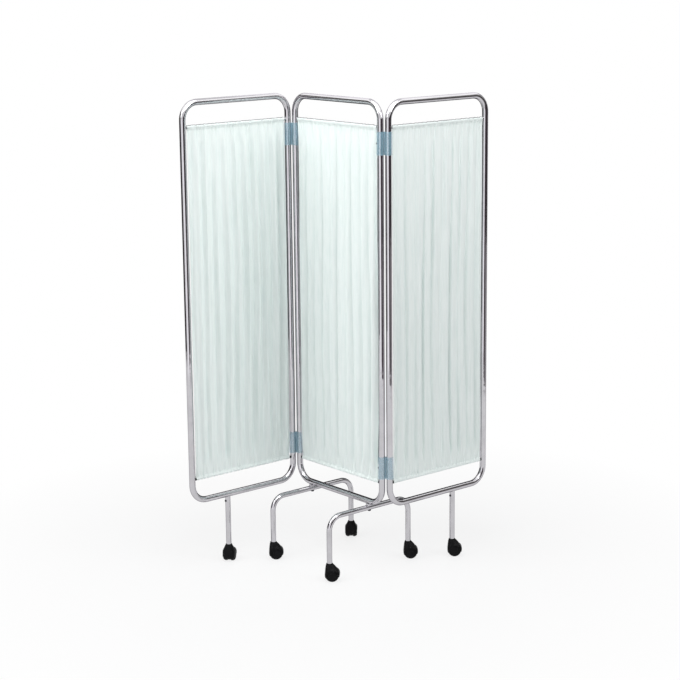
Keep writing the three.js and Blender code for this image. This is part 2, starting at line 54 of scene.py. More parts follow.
# Rods and curtains
TOP_ROD_HEIGHT = 1.592
BOTTOM_ROD_HEIGHT = 0.337
ROD_RADIUS = 0.003
ROD_END_DEPTH = 0.004  # inside the upright
FERRULE_RADIUS = 0.004472
FERRULE_LENGTH = 0.008
FERRULE_EDGE = 0.0006
FERRULE_END_DEPTH = 0.001  # inside the upright
FERRULE_SLOTS = {"top": "rod_steel", "bottom": "caster_plastic"}
CLOTH_WIDTH = 0.4266  # gathered
CLOTH_FLAT_WIDTH = 0.56
POCKET_RADIUS = 0.0043
STITCH_DROP = 0.012  # from the rod to the stitches that close its pocket
UPPER_SEAM_HEIGHT = TOP_ROD_HEIGHT - STITCH_DROP
LOWER_SEAM_HEIGHT = BOTTOM_ROD_HEIGHT + STITCH_DROP
TAIL_DROP = 0.021  # from the rod to the free edge behind
TAIL_GAP = 0.0009  # from the sheet to its free edge behind it
GATHER_REACH = 0.075  # from the stitches to where the small pleats have opened out
FOLD_DEPTH = 0.013
FOLD_COUNT = 10
FOLD_SHARE = 0.34  # of the depth that the broad folds take, each way
MINOR_FOLD_SHARE = 0.09  # the same of the minor folds
MINOR_FOLD_RATIO = 1.62  # minor folds to each broad one
CREST_BREADTH = 0.22  # how much broader crests are than valleys
FOLD_LEAN = 0.0042  # how far a fold leans over sideways
FOLD_DRIFT = 0.16  # how far a fold sways from the vertical, in folds
FOLD_WANDER = 0.20  # how far it strays by itself, in folds
FLATTER_ABOVE = 0.45  # how much of a fold's depth is gone at the upper rod, and at the lower one
FLATTER_BELOW = 0.12
PLEAT_COUNT = 23
PLEAT_DEPTH = 0.0020  # at the stitches
OPEN_PLEAT_DEPTH = 0.0001  # away from them
PLEAT_FADE = 0.42  # of the gathers' reach, in which the pleats fade
POCKET_PLEAT_LOSS = 0.74  # how much flatter the pleats are round the rod
POCKET_WAVE = 0.12  # how much the pleats widen and narrow the pocket
CREASE_DEPTH = 0.0072
CREASE_SHARPNESS = 18
CLOTH_THICKNESS = 0.0005
SIDE_HEM_WIDTH = 0.012
SEAM_PITCH = 0.0042
STITCH_ENDS = (0.14, 0.86)  # where a stitch starts and ends, in its share of the pitch
THREAD_SWELL = (0.35, 1, 0.35)  # how thick it is at its start, middle and end
THREAD_RADIUS = 0.00032
# The dark line along the upper pocket's top edge is painted shade, drawn as a thin near-black bar.
EDGE_SHADE_RADIUS = 0.0017
EDGE_SHADE_STEPS = 180
CLOTH_COLUMNS = 276
FLAP_ROWS = 6  # from the rod to the free edge, and to the stitches
POCKET_ROWS = 12  # over the rod
OPEN_ROWS = 96  # between the two rows of stitches
ROW_CROWDING = 0.62  # how much closer they lie near the stitches

# Hinge clips
HINGE_PITCH = 0.027
CLIP_HEIGHT = 0.080
CLIP_HEIGHTS = {"lower": 0.393, "upper": 1.537}
CLIP_BORE_RADIUS = 0.0113
CLIP_OUTER_RADIUS = 0.0142
CLIP_EDGE = 0.0008
CLIP_SCREW_HEAD = (0.0038, 0.0016, 0.004)  # radius, height and depth of shank
CLIP_SCREW_SINK = 0.0012
CLIP_WEB_WIDTH = 0.0038  # of the thick plastic between its two bores
CLIP_WEB_DEPTH = 0.0078
CLIP_SIDES = 36

# Feet and legs
LEG_RADIUS = 0.0095
FOOT_PITCH = 0.320
FOOT_SPREAD = 0.374
FOOT_BEND_RADIUS = 0.050
FOOT_BAR_HEIGHT = 0.2315
SADDLE_LENGTH = 0.020
SADDLE_WIDTH = 0.014
SADDLE_RISE = 0.003
FIT_GAP = 0.0001  # between a part and the tube that it is cut to fit
WELD_RADIUS = 0.0013
WELD_POINTS = 48
WELD_SQUARENESS = 1.35  # 1 is round
FOOT_BOLT_HEAD = (0.0065, 0.004, 0.004)
DOWN = (0, 0.0001, -1)  # a hair off straight down, which has no single turn from straight up
LEG_PLACE = 0.075  # from the middle of a wing, away from its hinge
LEG_SCREW_HEIGHT = 0.230
LEG_SCREW_HEAD = (0.0044, 0.0026, 0.003)

# Casters
CASTER_HEIGHT = 0.061
CASTER_TRAIL = 0.009
WHEEL_RADIUS = 0.024
WHEEL_WIDTH = 0.0155
WHEEL_RECESS = 0.0004 / WHEEL_WIDTH  # round the axle, on its inner face
WEB_THICKNESS = 0.012
WHEEL_SIDE_GAP = 0.0006
AXLE_HEIGHT = 0.02354
AXLE_RADIUS = 0.003
AXLE_END_DEPTH = 0.0033  # inside the wheel's face
HOOD_RADIUS = 0.0260  # about the axle
HOOD_TAIL_BULGE = 0.0022  # how much fuller it is behind
HOOD_TAIL_ANGLE = 0.45  # radians above straight behind
HOOD_SIDE_DROP = 0.32  # of the radius, at its sides
HOOD_SQUARENESS = 6.3  # how late that drop comes
HOOD_HALF_WIDTH = 0.0229
HOOD_WALL = 0.0013
HOOD_TOP = 0.0632  # where the bell starts to slope down from the neck
HOOD_SLOPES = (2.05, 0.70)  # how steeply it falls away to the sides, and behind
HOOD_CURL = 27.0  # how much steeper it gets behind, per metre from the neck
HOOD_BELL_FOOT = 0.026  # where the bell leaves the hood's round, and over what height
HOOD_BELL_BLEND = 0.012
HOOD_SMOOTHINGS = 3
HOOD_NECK_RADIUS = 0.0118
HOOD_NECK_WALL = 0.0018
HOOD_NECK_HEIGHTS = (0.0492, 0.0560, 0.0574)  # of its foot, its waist and its floor inside
HOOD_NECK_TOP = 0.0648  # round the end of the leg
HOOD_RIM_RADIUS = 0.0114  # of the bell's hole, inside the neck's wall
HOOD_LIPS = (-12, 202)  # degrees round the axle, from straight behind, over the top
STEM_HOLE_RADIUS = 0.0046
STEM_RADIUS = 0.004
STEM_FOOT = 0.0345
COLLAR_FOOT = 0.0587
COLLAR_TOP = 0.0608
PLUG_RADIUS = 0.0070
PLUG_TOP = 0.0865
BOSS_RADIUS = 0.0218

# Half section of a wheel from its inner face to its outer one, in shares of its radius and width
WHEEL_PROFILE = (
    (0, WHEEL_RECESS), (0.3, WHEEL_RECESS), (0.3, 0), (0.93, 0), (0.98, 0.05), (1, 0.16), (1, 0.40),
    (0.993, 0.50), (0.975, 0.59), (0.945, 0.69), (0.90, 0.79), (0.845, 0.88), (0.79, 0.94), (0.72, 0.985),
    (0.66, 1), (0.63, 1), (0.615, 0.965), (0.58, 0.955), (0.565, 0.975), (0.45, 0.965), (0.36, 0.955),
    (0.34, 0.985), (0.29, 1), (0.12, 1.005), (0, 1.006),
)

# Softness of edges, and fineness of round shapes
BAR_EDGE = 0.0004
SMALL_EDGE = 0.0005
SHARP_ANGLE = math.radians(38)  # from which an edge is drawn sharp, but for cloth
TUBE_SIDES = 28
BEND_STEPS = 14
TURN_STEPS = 40
MERGE_DISTANCE = 1e-6
SEAM_MERGE_DISTANCE = 1e-5

# Photograph's view: the camera stands round the screen, looking at its middle
VIEW_AZIMUTH = math.radians(49.88)
VIEW_ELEVATION = math.radians(12.29)
VIEW_ROLL = math.radians(0.57)
VIEW_DISTANCE = 6.4756
VIEW_ASIDE = 0.0046
VIEW_HEIGHT = 0.8174
VIEW_REACH = 200
LENS_MM = 95.97

# Cards that only reflections show, curved round the set: two ends in degrees round it from the camera,
# distance, foot, top and tone
CARDS = {
    "bright_stripe": (-36, 4, 3.0, 0.0, 1.7, (1.4, 1.38, 1.42)),
    "dark_front": (8, 56, 3.0, 0.0, 1.8, (0.08, 0.062, 0.072)),
    "grey_side_low": (56, 112, 3.0, 0.0, 0.75, (0.36, 0.345, 0.35)),
    "dark_side_right": (56, 112, 3.0, 0.75, 1.8, (0.05, 0.045, 0.048)),
    "grey_side": (56, 118, 3.0, 1.8, 2.9, (0.34, 0.335, 0.32)),
    "dark_side": (-134, -58, 3.0, 0.2, 1.5, (0.06, 0.05, 0.058)),
    "dark_side_top": (-134, -58, 3.0, 1.5, 2.9, (0.10, 0.10, 0.078)),
    "dark_back_right": (136, 176, 3.0, 0.0, 1.6, (0.14, 0.125, 0.14)),
    "dark_back_left": (-176, -140, 3.0, 0.0, 1.6, (0.14, 0.125, 0.14)),
    "dark_low_back": (130, 230, 1.3, 0.20, 1.80, (0.03, 0.025, 0.03)),
    "bright_right": (60, 175, 3.0, 3.0, 5.4, (1.7, 1.7, 1.68)),
    "bright_left": (-175, -60, 3.0, 3.0, 5.4, (1.7, 1.7, 1.68)),
}

# Lamps: place, point that each faces, size and power in watts
LAMPS = {
    "overhead": ((0.6, -0.6, 3.0), (0, 0, 0.9), (2.0, 2.0), 36),
    "key": ((-0.8, -3.3, 3.0), (0, 0, 1.1), (2.2, 1.8), 63),
    "fill": ((3.5, 1.3, 3.0), (0, 0, 1.5), (1.8, 1.6), 51),
    "behind": ((-2.6, 2.8, 3.0), (0, 0, 1.1), (2.0, 1.6), 30),
}
WORLD_STRENGTH = 0.36
FLOOR_RADIUS = 60
FLOOR_FADE = (0.6, 1.7)  # distances between which the floor turns white
FLOOR_NEAR_WHITE = 0.80  # how white it is inside the first

JOINTS = {joint["name"]: joint for joint in frame["joints"]}


def wing_place(name, heading):
    """The matrix that stands a wing, drawn in the XZ plane about its middle, at its hinge."""
    hinge = Vector(JOINTS[f"{name}_turn"]["pos_m"]).xy
    middle = hinge + Vector((math.cos(heading), math.sin(heading))) * PANEL_PITCH / 2
    return Matrix.Translation(middle.to_3d()) @ Matrix.Rotation(heading, 4, "Z")


# Each panel's place, the side that its folds' broad crests face, where its folds start, and how deep they
# and the creases between them are
Panel = namedtuple("Panel", "place crest fan folded creased")
PANELS = {
    "middle": Panel(Matrix.Identity(4), -1, 0.46, 1.4, 1.0),
    "left_wing": Panel(wing_place("left_wing", -math.pi / 2), 1, 0.17, 1.5, 1.0),
    "right_wing": Panel(wing_place("right_wing", math.pi / 2), -1, 0.83, 1.0, 0.7),
}


# Shader nodes


def new_material(name):
    material = bpy.data.materials.new(name)
    material.use_nodes = True
    return material, material.node_tree.nodes["Principled BSDF"]


def fill(node, **values):
    """Sets properties by name and, where a node has no such property, its inputs."""
    for key, value in values.items():
        if hasattr(node, key):
            setattr(node, key, value)
        else:
            node.inputs[key.replace("_", " ")].default_value = value
    return node


def add(tree, kind, **values):
    return fill(tree.nodes.new(kind), **values)


def link(source, socket):
    """Links an output to a socket, or sets the socket to a number or an opaque colour."""
    if isinstance(source, bpy.types.NodeSocket):
        socket.id_data.links.new(source, socket)
    else:
        socket.default_value = (*source, 1) if isinstance(source, tuple) else source


def ramp(source, low, high, low_value=0.0, high_value=1.0):
    """Maps source from low..high to low_value..high_value, held at the ends."""
    node = add(source.id_data, "ShaderNodeMapRange", clamp=True)
    for place, value in enumerate((source, low, high, low_value, high_value)):
        link(value, node.inputs[place])
    return node.outputs[0]


def mix_colour(factor, first, second):
    node = add(factor.id_data, "ShaderNodeMix", data_type="RGBA")
    for place, value in ((0, factor), (6, first), (7, second)):
        link(value, node.inputs[place])
    return node.outputs[2]


def paint(shader, factor, first, second):
    """Gives a shader a base colour between two."""
    link(mix_colour(factor, first, second), shader.inputs["Base Color"])


def math_node(operation, first, second):
    """Combines a socket with another one or with a number."""
    node = add(first.id_data, "ShaderNodeMath", operation=operation)
    link(first, node.inputs[0])
    link(second, node.inputs[1])
    return node.outputs[0]


def noise_node(coordinates, scale, detail, roughness, stretch=None):
    """A noise texture on the given coordinates, which may be stretched first."""
    tree = coordinates.id_data
    if stretch:
        mapping = add(tree, "ShaderNodeMapping", Scale=stretch)
        link(coordinates, mapping.inputs["Vector"])
        coordinates = mapping.outputs["Vector"]
    node = add(tree, "ShaderNodeTexNoise", Scale=scale, Detail=detail, Roughness=roughness)
    link(coordinates, node.inputs["Vector"])
    return node.outputs["Fac"]


def bump_into(shader, height, distance, strength=1.0):
    node = add(shader.id_data, "ShaderNodeBump", Distance=distance, Strength=strength)
    link(height, node.inputs["Height"])
    link(node.outputs["Normal"], shader.inputs["Normal"])
    return node


def new_group(name, inputs, outputs):
    """A node group with a vector, where an input is called so, and numbers."""
    tree = bpy.data.node_groups.new(name, "ShaderNodeTree")
    for way, labels in (("INPUT", inputs), ("OUTPUT", outputs)):
        for label in labels:
            kind = "NodeSocketVector" if label == "Vector" else "NodeSocketFloat"
            tree.interface.new_socket(label, in_out=way, socket_type=kind)
    return tree, tree.nodes.new("NodeGroupInput"), tree.nodes.new("NodeGroupOutput")


def handling_marks():
    """Smudges and fine scratches: a roughness that varies, and the height of the scratches."""
    inputs = ("Vector", "Clean Roughness", "Smudged Roughness", "Scale")
    tree, given, result = new_group("handling_marks", inputs, ("Roughness", "Height", "Mask"))
    smudge = noise_node(given.outputs["Vector"], 14, 5, 0.62)
    link(given.outputs["Scale"], smudge.node.inputs["Scale"])
    mask = ramp(smudge, 0.42, 0.74)
    blend = add(tree, "ShaderNodeMix", data_type="FLOAT")
    link(mask, blend.inputs[0])
    link(given.outputs["Clean Roughness"], blend.inputs[2])
    link(given.outputs["Smudged Roughness"], blend.inputs[3])
    scratch = noise_node(given.outputs["Vector"], 90, 2, 0.5, stretch=(9, 9, 0.6))
    link(blend.outputs[0], result.inputs["Roughness"])
    link(scratch, result.inputs["Height"])
    link(mask, result.inputs["Mask"])
    return tree


def settled_dust():
    """Dust that lies where a surface faces up, broken by noise."""
    tree, given, result = new_group("settled_dust", ("Vector", "Amount"), ("Mask",))
    geometry = add(tree, "ShaderNodeNewGeometry")
    parts = add(tree, "ShaderNodeSeparateXYZ")
    link(geometry.outputs["Normal"], parts.inputs[0])
    upward = ramp(parts.outputs["Z"], 0.25, 1.0)
    broken = ramp(noise_node(given.outputs["Vector"], 60, 6, 0.7), 0.35, 0.75)
    held = math_node("MULTIPLY", upward, broken)
    link(math_node("MULTIPLY", held, given.outputs["Amount"]), result.inputs["Mask"])
    return tree


MARKS = handling_marks()
DUST = settled_dust()


def object_coordinates(shader):
    return add(shader.id_data, "ShaderNodeTexCoord").outputs["Object"]


def placed_group(group, coordinates, **values):
    node = add(coordinates.id_data, "ShaderNodeGroup", node_tree=group)
    link(coordinates, node.inputs["Vector"])
    return fill(node, **values)


def mark(shader, where, clean, smudged, scale=14):
    """Gives a shader's roughness the handling marks."""
    marks = placed_group(MARKS, where, Clean_Roughness=clean, Smudged_Roughness=smudged, Scale=scale)
    link(marks.outputs["Roughness"], shader.inputs["Roughness"])
    return marks


def chrome_plate(name, colour, edge, clean, smudged, waviness):
    """Bright plate on bent tube, slightly wavy, with wiped smudges and fine scratches."""
    material, shader = new_material(name)
    where = object_coordinates(shader)
    marks = mark(shader, where, clean, smudged)
    worn = tuple(channel * 0.88 for channel in colour)
    paint(shader, marks.outputs["Mask"], colour, worn)
    fill(shader, Metallic=1, Specular_Tint=(*edge, 1))
    wave = noise_node(where, 38, 1, 0.4)
    height = math_node("ADD", wave, math_node("MULTIPLY", marks.outputs["Height"], 0.12))
    bump_into(shader, height, waviness, 0.6)
    return material


def drawn_steel(name, bright, dull):
    """Plated drawn steel with streaks along its length and duller patches."""
    material, shader = new_material(name)
    where = object_coordinates(shader)
    marks = mark(shader, where, 0.22, 0.45, 55)
    paint(shader, marks.outputs["Mask"], bright, dull)
    fill(shader, Metallic=1)
    bump_into(shader, marks.outputs["Height"], 0.00006)
    return material


def hinge_plastic():
    """Pale blue moulded plastic that the tubes show through, with a fine moulded grain."""
    material, shader = new_material("pale_blue_plastic")
    where = object_coordinates(shader)
    marks = mark(shader, where, 0.16, 0.30, 70)
    cloud = ramp(noise_node(where, 42, 4, 0.6), 0.3, 0.7)
    tone = mix_colour(cloud, (0.36, 0.63, 0.765), (0.42, 0.68, 0.795))
    dust = placed_group(DUST, where, Amount=0.25)
    paint(shader, dust.outputs["Mask"], tone, (0.62, 0.66, 0.66))
    fill(shader, Alpha=0.2, IOR=1.45)
    bump_into(shader, noise_node(where, 900, 2, 0.5), 0.00003)
    return material


def hinge_web_shaded():
    """The same blue plastic where it is thick, opaque and darker: partly the deeper colour of thick plastic,
    partly painted shade of the valley between the clip's two rings.
    """
    material, shader = new_material("blue_plastic_painted_shade")
    cloud = ramp(noise_node(object_coordinates(shader), 42, 4, 0.6), 0.3, 0.7)
    paint(shader, cloud, (0.19, 0.31, 0.39), (0.23, 0.35, 0.43))
    fill(shader, Roughness=0.35)
    return material


def caster_plastic(name, colour, clean, smudged, grain_scale):
    """Black moulded nylon: satin, with a fine grain, scuffs and a little floor dust."""
    material, shader = new_material(name)
    where = object_coordinates(shader)
    marks = mark(shader, where, clean, smudged, 60)
    scuffed = mix_colour(marks.outputs["Mask"], colour, tuple(channel * 2.2 for channel in colour))
    dust = placed_group(DUST, where, Amount=0.03)
    paint(shader, dust.outputs["Mask"], scuffed, (0.16, 0.155, 0.15))
    fill(shader, Specular_IOR_Level=0.08)
    bump_into(shader, noise_node(where, grain_scale, 3, 0.6), 0.00008)
    return material


def curtain_cloth():
    """Thin mint-white cotton: threads along the cloth's own map, slubs, soft creases and sheen."""
    material, shader = new_material("mint_white_cotton")
    tree = shader.id_data
    cloth = add(tree, "ShaderNodeUVMap", uv_map="cloth").outputs["UV"]
    waves = []
    for direction in ("X", "Y"):
        thread = add(tree, "ShaderNodeTexWave", wave_type="BANDS", bands_direction=direction)
        fill(thread, Scale=290, Distortion=0.6, Detail=1)
        link(cloth, thread.inputs["Vector"])
        waves.append(thread.outputs["Fac"])
    weave = math_node("MAXIMUM", *waves)
    slub = noise_node(cloth, 120, 3, 0.6, stretch=(1.0, 0.08, 1))
    crease = noise_node(cloth, 26, 4, 0.55, stretch=(1.0, 0.12, 1))
    blotch = ramp(noise_node(object_coordinates(shader), 5, 3, 0.5), 0.3, 0.7)
    tone = mix_colour(blotch, (0.812, 0.880, 0.864), (0.836, 0.895, 0.882))
    thin = ramp(slub, 0.45, 0.72)
    paint(shader, thin, tone, (0.765, 0.845, 0.830))
    link(ramp(weave, 0, 1, 0.82, 0.94), shader.inputs["Roughness"])
    fill(shader, Specular_IOR_Level=0.25, Sheen_Weight=0.25, Sheen_Roughness=0.5)
    threads = bump_into(shader, weave, 0.00012, 0.5)
    folds = add(tree, "ShaderNodeBump", Distance=0.0014, Strength=0.8)
    height = math_node("ADD", crease, math_node("MULTIPLY", slub, 0.18))
    link(height, folds.inputs["Height"])
    link(folds.outputs["Normal"], threads.inputs["Normal"])
    return material


def sewing_thread(name, colour):
    """Matt twisted thread."""
    material, shader = new_material(name)
    twist = noise_node(object_coordinates(shader), 2600, 2, 0.5)
    shaded = tuple(channel * 0.8 for channel in colour)
    paint(shader, ramp(twist, 0.35, 0.65), colour, shaded)
    link(ramp(twist, 0, 1, 0.6, 0.8), shader.inputs["Roughness"])
    bump_into(shader, twist, 0.0001)
    return material


MATERIALS = {
    "chrome_tube": chrome_plate("bright_chrome", (0.56, 0.55, 0.575), (0.30, 0.28, 0.31), 0.06, 0.14, 0.0004),
    "rod_steel": chrome_plate("bright_rod", (0.58, 0.59, 0.60), (0.4, 0.4, 0.4), 0.16, 0.30, 0.0002),
    "fastener_steel": drawn_steel("drawn_steel", (0.60, 0.61, 0.62), (0.42, 0.42, 0.42)),
    "dark_steel": drawn_steel("blackened_steel", (0.07, 0.07, 0.08), (0.045, 0.045, 0.05)),
    # hinge_web_shaded: darker blue that is partly painted shade of the valley between a clip's rings
    "hinge_plastic": hinge_plastic(),
    "hinge_web_shaded": hinge_web_shaded(),
    "curtain_cloth": curtain_cloth(),
    "caster_plastic": caster_plastic("black_nylon", (0.004, 0.004, 0.0045), 0.38, 0.50, 700),
    "wheel_plastic": caster_plastic("black_tread", (0.005, 0.005, 0.0055), 0.45, 0.62, 1100),
    "pale_thread": sewing_thread("pale_thread", (0.74, 0.83, 0.81)),
    # Near-black colour of the painted shade bar along the upper pocket's top edge.
    "painted_edge_shade": sewing_thread("painted_edge_shade", (0.075, 0.068, 0.085)),
}


# Meshes


def new_object(name, data):
    """An object in the scene that shows the given data."""
    made = bpy.data.objects.new(name, data)
    bpy.context.scene.collection.objects.link(made)
    return made


def new_mesh(name, bm, material=None):
    """Turns a bmesh into a mesh, and frees it."""
    mesh = bpy.data.meshes.new(name)
    bm.to_mesh(mesh)
    bm.free()
    if material:
        mesh.materials.append(material)
    return mesh


def as_piece(name, bm, body, place, slot, material=None):
    """Closes a mesh, stands it in its place and makes it a piece that rides on a body."""
    merge(bm)
    bmesh.ops.recalc_face_normals(bm, faces=bm.faces)
    mesh = new_mesh(name, bm, MATERIALS[material or slot])
    mesh.transform(place)
    mesh.shade_smooth()
    if slot != "curtain_cloth":
        mesh.set_sharp_from_angle(angle=SHARP_ANGLE)
    piece = new_object(name, mesh)
    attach(piece, body)
    return piece


def merge(bm, distance=MERGE_DISTANCE):
    bmesh.ops.remove_doubles(bm, verts=bm.verts, dist=distance)


def verts_of(parts):
    return [part for part in parts if isinstance(part, bmesh.types.BMVert)]


def edges_of(parts):
    return [part for part in parts if isinstance(part, bmesh.types.BMEdge)]


def thicken(bm, rise):
    """Extrudes every face of a flat mesh by a vector."""
    raised = bmesh.ops.extrude_face_region(bm, geom=bm.faces[:])["geom"]
    bmesh.ops.translate(bm, verts=verts_of(raised), vec=rise)


def turned(profile, steps=TURN_STEPS):
    """A profile of (radius, height) pairs spun about the Z axis."""
    bm = bmesh.new()
    points = [bm.verts.new((radius, 0, height)) for radius, height in profile]
    edges = [bm.edges.new(pair) for pair in zip(points, points[1:])]
    bmesh.ops.spin(
        bm, geom=points + edges, cent=(0, 0, 0), axis=(0, 0, 1), angle=math.tau, steps=steps, use_merge=True
    )
    merge(bm)
    return bm


def soften(bm, width, segments, least_degrees):
    """Rounds every edge that is sharper than the given angle."""
    bmesh.ops.recalc_face_normals(bm, faces=bm.faces)
    least = math.radians(least_degrees)
    edges = [edge for edge in bm.edges if len(edge.link_faces) == 2 and edge.calc_face_angle() > least]
    bmesh.ops.bevel(
        bm, geom=edges, offset=width, segments=segments, profile=0.5, affect="EDGES", material=-1,
        clamp_overlap=True,
    )


def laid(at, axis):
    """Lays something drawn along +Z from the origin at a point and along an axis."""
    turn = Vector((0, 0, 1)).rotation_difference(Vector(axis)).to_matrix().to_4x4()
    return Matrix.Translation(at) @ turn


def ring_at(bm, centre, heading, radius, sides=TUBE_SIDES):
    """A ring of edges that faces along heading."""
    made = bmesh.ops.create_circle(bm, segments=sides, radius=radius, matrix=laid(centre, heading))
    return list({edge for vert in made["verts"] for edge in vert.link_edges})


def run(bm, ring, step):
    """Draws a ring straight along a vector."""
    made = bmesh.ops.extrude_edge_only(bm, edges=ring)["geom"]
    verts = verts_of(made)
    bmesh.ops.translate(bm, verts=verts, vec=step)
    return [edge for edge in edges_of(made) if all(vert in verts for vert in edge.verts)]


def bend(bm, ring, centre, axis, angle):
    """Spins a ring about a bend's centre."""
    verts = list({vert for edge in ring for vert in edge.verts})
    made = bmesh.ops.spin(
        bm, geom=verts + ring, cent=centre, axis=axis, angle=angle, steps=BEND_STEPS
    )["geom_last"]
    return edges_of(made)


def cap(bm, *rings):
    for ring in rings:
        bmesh.ops.edgeloop_fill(bm, edges=ring)


def bent_tube(corners, bend_radius, radius, closed):
    """A round tube through corners with a round bend at each, as one closed skin."""
    bm = bmesh.new()
    count = len(corners)
    bends = range(count) if closed else range(1, count - 1)
    setback = {i: bend_radius for i in bends}
    first = corners[0]
    heading = (corners[1] - first).normalized()
    at = first + heading * setback.get(0, 0)
    ring = ring_at(bm, at, heading, radius)
    first_ring = ring
    legs = range(1, count + 1) if closed else range(1, count)
    for i in legs:
        corner = corners[i % count]
        end = corner - heading * setback.get(i % count, 0)
        ring = run(bm, ring, end - at)
        at = end
        if i % count in setback:
            new_heading = (corners[(i + 1) % count] - corner).normalized()
            centre = at + new_heading * bend_radius
            ring = bend(bm, ring, centre, heading.cross(new_heading), math.pi / 2)
            at = corner + new_heading * bend_radius
            heading = new_heading
    if closed:
        merge(bm, SEAM_MERGE_DISTANCE)
    else:
        cap(bm, first_ring, ring)
    return bm


def panel_tube():
    """One panel's frame as a closed loop in the XZ plane."""
    half, top, bottom = PANEL_PITCH / 2, TOP_TUBE_HEIGHT, BOTTOM_TUBE_HEIGHT
    places = ((half, top), (half, bottom), (-half, bottom), (-half, top))
    return bent_tube([Vector((x, 0, z)) for x, z in places], CORNER_RADIUS, FRAME_RADIUS, True)


def capped_bar(radius, half, edge):
    """A round bar about the origin, along Z, with softened ends."""
    lower = [(0, -half), (radius - edge, -half), (radius, -half + edge)]
    upper = [(reach, -height) for reach, height in reversed(lower)]
    return turned(lower + upper)


def screw_head(radius, height, sink):
    """A domed head above zero height with a cross recess, on a short shank below."""
    shank = radius * 0.5
    dome = [(radius, height * 0.35), (radius * 0.86, height * 0.8), (radius * 0.62, height)]
    bm = turned([(0, -sink), (shank, -sink), (shank, 0), (radius, 0), *dome], 24)
    cross = bmesh.new()
    grid = bmesh.ops.create_grid(cross, x_segments=3, y_segments=3, size=radius * 0.42)
    middles = {face: face.calc_center_median() for face in cross.faces}
    corners = [face for face, at in middles.items() if min(abs(at.x), abs(at.y)) > radius * 0.1]
    bmesh.ops.delete(cross, geom=corners, context="FACES")
    bmesh.ops.translate(cross, verts=[vert for vert in grid["verts"] if vert.is_valid], vec=(0, 0, height))
    thicken(cross, (0, 0, -height * 0.6))
    top = height * 0.99
    upper = [face for face in cross.faces if face.calc_center_median().z > top and abs(face.normal.z) > 0.5]
    bmesh.ops.delete(cross, geom=upper, context="FACES_ONLY")
    mesh = new_mesh("cross", cross)
    bm.from_mesh(mesh)
    bpy.data.meshes.remove(mesh)
    open_edges = [edge for edge in bm.edges if edge.is_boundary]
    bmesh.ops.triangle_fill(bm, edges=open_edges, use_beauty=True)
    return bm


def add_screw(node, sizes, body, place):
    """The head of a screw or bolt, in place of the CAD's whole one."""
    head = as_piece(f"{node}_head", screw_head(*sizes), body, place, "fastener_steel", "dark_steel")
    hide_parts(node)


def add_frames():
    for name, panel in PANELS.items():
        tube = as_piece(f"{name}_frame_tube", panel_tube(), name, panel.place, "chrome_tube")
        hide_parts(f"{name}_frame")
        for level, height in (("top", TOP_ROD_HEIGHT), ("bottom", BOTTOM_ROD_HEIGHT)):
            half = PANEL_PITCH / 2 - FRAME_RADIUS + ROD_END_DEPTH
            place = panel.place @ laid((0, 0, height), (1, 0, 0))
            bar = capped_bar(ROD_RADIUS, half, BAR_EDGE)
            rod = as_piece(f"{name}_{level}_rod_bar", bar, name, place, "rod_steel")
            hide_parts(f"{name}_{level}_rod")
            for end, sign in (("near", -1), ("far", 1)):
                middle = (PANEL_PITCH / 2 - FRAME_RADIUS - FERRULE_LENGTH / 2 + FERRULE_END_DEPTH) * sign
                at = panel.place @ laid((middle, 0, height), (1, 0, 0))
                sleeve = capped_bar(FERRULE_RADIUS, FERRULE_LENGTH / 2, FERRULE_EDGE)
                as_piece(f"{name}_{level}_rod_{end}_ferrule", sleeve, name, at, FERRULE_SLOTS[level])


def clip_body():
    """Two joined rings as a figure of eight, with round bores and softened edges."""
    bm = bmesh.new()
    valley = math.acos(HINGE_PITCH / 2 / CLIP_OUTER_RADIUS)
    drawn = [bm.verts.new((HINGE_PITCH / 2, CLIP_OUTER_RADIUS * math.sin(valley), 0))]
    for place in (0, HINGE_PITCH):
        spun = bmesh.ops.spin(
            bm, geom=drawn, cent=(place, 0, 0), axis=(0, 0, 1), angle=math.tau - 2 * valley, steps=CLIP_SIDES
        )
        drawn = verts_of(spun["geom_last"])
    for place in (0, HINGE_PITCH):
        at = Matrix.Translation((place, 0, 0))
        bmesh.ops.create_circle(bm, segments=CLIP_SIDES, radius=CLIP_BORE_RADIUS, matrix=at)
    merge(bm, SEAM_MERGE_DISTANCE)
    bmesh.ops.triangle_fill(bm, edges=bm.edges[:], use_beauty=True)
    bmesh.ops.translate(bm, verts=bm.verts[:], vec=(0, 0, -CLIP_HEIGHT / 2))
    thicken(bm, (0, 0, CLIP_HEIGHT))
    soften(bm, CLIP_EDGE, 3, 55)
    return bm


def clip_web():
    """The thick plastic between a clip's two rings, as an upright bar inside the moulding."""
    bm = bmesh.new()
    size = (CLIP_WEB_WIDTH, CLIP_WEB_DEPTH, CLIP_HEIGHT - 2 * CLIP_EDGE)
    bmesh.ops.create_cube(bm, size=1, matrix=Matrix.Diagonal((*size, 1)))
    soften(bm, CLIP_EDGE, 3, 50)
    return bm


def add_clips():
    for name, side in (("left", -1), ("right", 1)):
        base = Matrix.Rotation(math.pi * (0.25 if side > 0 else 1.25), 4, "Z")
        for level, height in CLIP_HEIGHTS.items():
            place = Matrix.Translation((side * PANEL_PITCH / 2, 0, height)) @ base
            body = f"{name}_clips"
            clip = as_piece(f"{name}_{level}_clip_moulding", clip_body(), body, place, "hinge_plastic")
            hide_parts(f"{name}_{level}_hinge_clip")
            out = laid((CLIP_SCREW_SINK - CLIP_OUTER_RADIUS, 0, 0), (-1, 0, 0))
            add_screw(f"{name}_{level}_clip_screw", CLIP_SCREW_HEAD, body, place @ out)
            between = place @ Matrix.Translation((HINGE_PITCH / 2, 0, 0))
            # The web's dark blue is partly painted shade of the valley between the clip's two rings.
            as_piece(f"{name}_{level}_clip_web", clip_web(), body, between, "hinge_plastic", "hinge_web_shaded")


